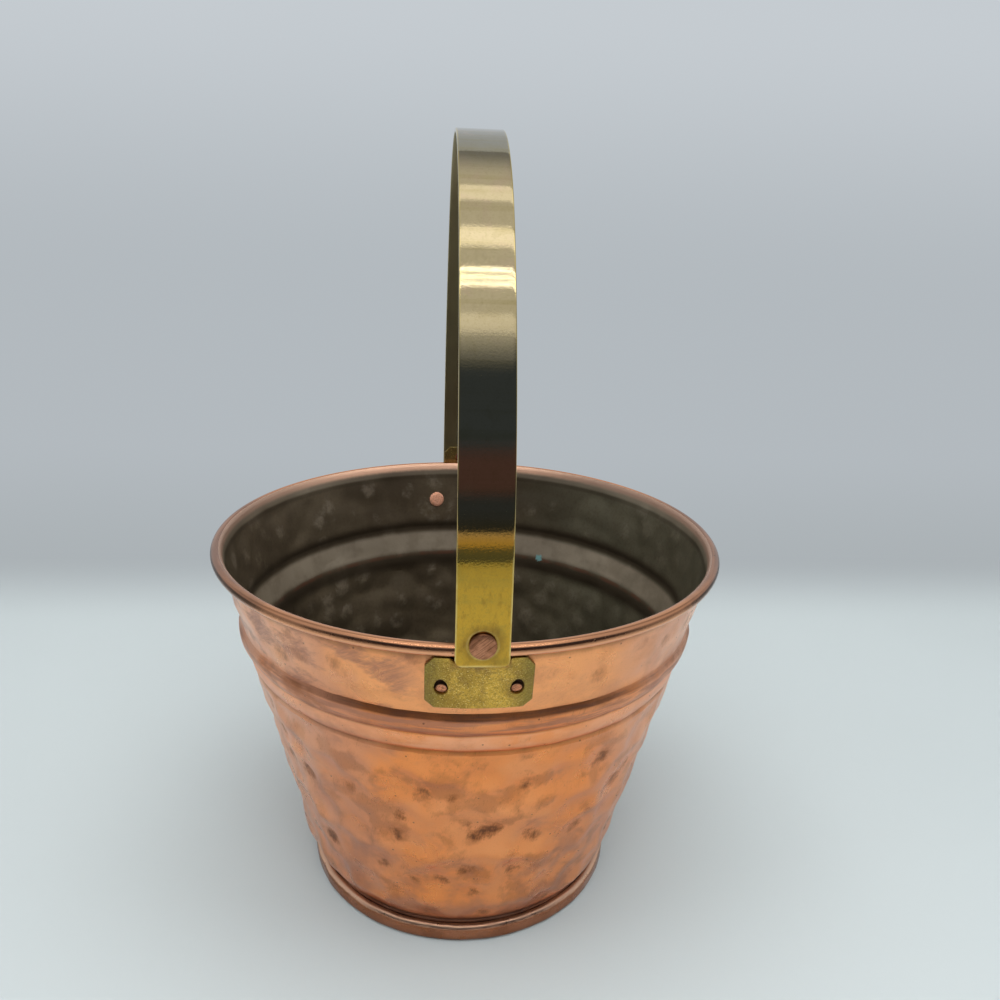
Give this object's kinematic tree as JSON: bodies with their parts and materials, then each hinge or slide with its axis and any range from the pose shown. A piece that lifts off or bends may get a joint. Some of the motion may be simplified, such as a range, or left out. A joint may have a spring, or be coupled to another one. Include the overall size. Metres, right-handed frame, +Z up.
{
  "type": "copper bucket",
  "caption": "Small tapered bucket of hammered copper sheet with a wired rim, a swaged bead and a riveted brass strap handle that swings over the top.",
  "frame": {"origin": "centre of the base on the floor", "axes": "+Z up; the handle's pivots lie along Y, the front ear at -Y and the rear ear at +Y"},
  "size_m": [0.204, 0.2136, 0.3046],
  "materials": {
    "hammered_copper": "hammered copper sheet, polished and tarnished in patches",
    "base_copper": "duller copper sheet",
    "iron_wire": "drawn iron wire, hidden in the rolled rim",
    "polished_brass": "polished brass strip",
    "ear_brass": "dull speckled brass",
    "rivet_copper": "filed copper"
  },
  "bodies": {
    "bucket": {"bucket_body": "hammered_copper", "rim_wire": "iron_wire", "base_pan": "base_copper", "front_ear": "ear_brass", "rear_ear": "ear_brass", "front_ear_rivet_left": "rivet_copper", "front_ear_rivet_right": "rivet_copper", "rear_ear_rivet_left": "rivet_copper", "rear_ear_rivet_right": "rivet_copper", "front_pivot_rivet": "rivet_copper", "rear_pivot_rivet": "rivet_copper"},
    "handle": {"handle_strap": "polished_brass"}
  },
  "joints": [
    {"name": "handle_swing", "type": "hinge", "parent": "bucket", "child": "handle", "pos_m": [0, 0, 0.1534], "axis": [0, 1, 0], "range_deg": [-149, 149]}
  ]
}
